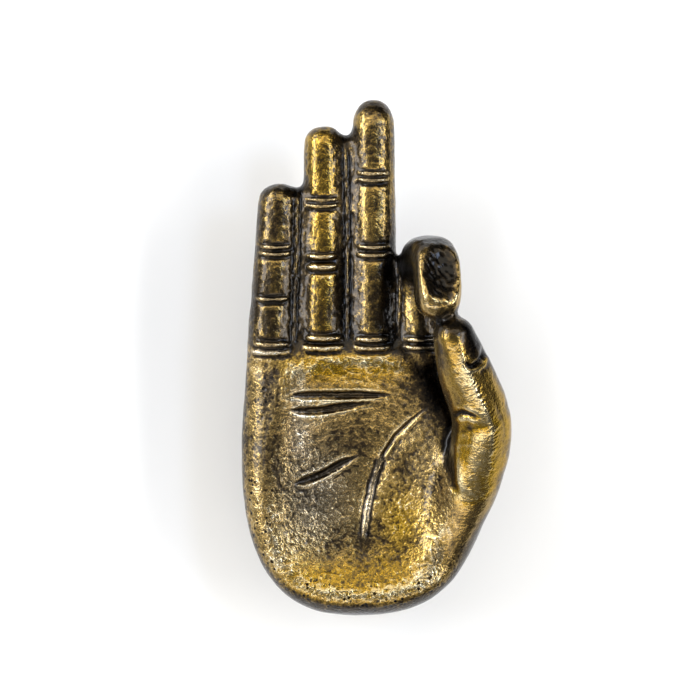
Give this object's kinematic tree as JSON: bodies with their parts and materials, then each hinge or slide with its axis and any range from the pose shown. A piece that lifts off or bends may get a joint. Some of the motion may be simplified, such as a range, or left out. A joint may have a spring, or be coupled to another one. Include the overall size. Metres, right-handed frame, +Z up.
{
  "type": "mudra hand wall sculpture",
  "caption": "Cast antique brass right hand in the teaching gesture, curled index fingertip meeting the thumb, held off a wall by a turned stand-off and a plugged hanger bolt.",
  "frame": {"origin": "on the wall plane at the axis of the hanger bolt", "axes": "+Z up along the fingers, +X towards the thumb, +Y into the wall; the palm faces -Y"},
  "size_m": [0.0573, 0.0851, 0.1103],
  "materials": {
    "antique_brass": "cast, patinated and rubbed back",
    "turned_brass": "turned and aged",
    "spring_steel": "oiled",
    "plated_steel": "zinc plated",
    "nylon": "moulded"
  },
  "bodies": {
    "root": {"hand_casting": "antique_brass", "stand_off": "turned_brass", "spring_washer": "spring_steel", "lock_nut": "plated_steel", "hanger_bolt": "plated_steel", "wall_plug": "nylon"}
  },
  "joints": []
}
